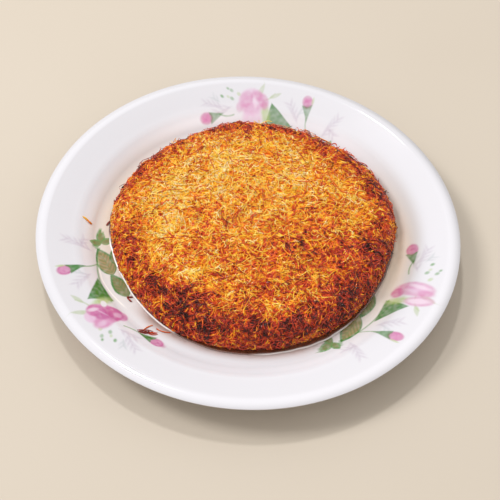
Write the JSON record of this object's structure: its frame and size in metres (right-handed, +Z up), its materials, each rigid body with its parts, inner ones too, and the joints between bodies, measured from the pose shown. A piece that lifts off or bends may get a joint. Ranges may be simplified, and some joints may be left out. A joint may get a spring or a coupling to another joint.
{
  "type": "kunafa on a plate",
  "caption": "Round pan-baked disc of browned shredded pastry with a rounded shoulder, lying on a wide-rimmed porcelain plate with printed flower sprays.",
  "frame": {"origin": "under the middle of the plate, on the surface that its foot ring stands on", "axes": "+Z up along the plate's axis; -Y towards the camera of the picture, whose browned side of the pastry faces it"},
  "size_m": [0.254, 0.254, 0.0233],
  "materials": {
    "porcelain": "white glossy glaze with printed pink rose sprays",
    "pastry": "baked shredded pastry, golden in the middle to dark brown at the edge, with burnt patches and a thin gloss of syrup"
  },
  "bodies": {
    "root": {"plate": "porcelain", "kunafa": "pastry"}
  },
  "joints": []
}
